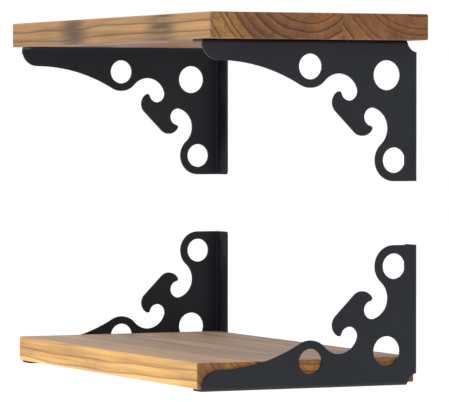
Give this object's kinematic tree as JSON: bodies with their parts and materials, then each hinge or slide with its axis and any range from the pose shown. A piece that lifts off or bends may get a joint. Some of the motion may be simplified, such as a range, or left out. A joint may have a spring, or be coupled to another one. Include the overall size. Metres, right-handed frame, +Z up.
{
  "type": "two-tier wall shelf with brackets",
  "caption": "Two-tier wall shelf: oiled wood boards on folded black steel brackets with scroll cut-outs, the upper pair under its board, the lower pair turned up at the board ends",
  "frame": {"origin": "middle of the four upper wall screw holes, on the wall plane", "axes": "X along the wall, Y out of the room into the wall (the front of the shelf faces -Y), Z up"},
  "size_m": [0.504, 0.2325, 0.357],
  "materials": {
    "bracket_steel": "satin black powder coat, fine texture",
    "upper_wood": "oiled, long brown grain with dark knots",
    "lower_wood": "oiled, paler grain",
    "screw_steel": "blackened steel"
  },
  "bodies": {
    "root": {"upper_left_bracket": "bracket_steel", "upper_right_bracket": "bracket_steel", "upper_front_stave": "upper_wood", "upper_back_stave": "upper_wood", "upper_left_back_screw": "screw_steel", "upper_left_middle_screw": "screw_steel", "upper_left_front_screw": "screw_steel", "upper_right_back_screw": "screw_steel", "upper_right_middle_screw": "screw_steel", "upper_right_front_screw": "screw_steel", "lower_left_bracket": "bracket_steel", "lower_right_bracket": "bracket_steel", "lower_front_stave": "lower_wood", "lower_back_stave": "lower_wood", "lower_left_back_screw": "screw_steel", "lower_left_middle_screw": "screw_steel", "lower_left_front_screw": "screw_steel", "lower_right_back_screw": "screw_steel", "lower_right_middle_screw": "screw_steel", "lower_right_front_screw": "screw_steel"}
  },
  "joints": []
}
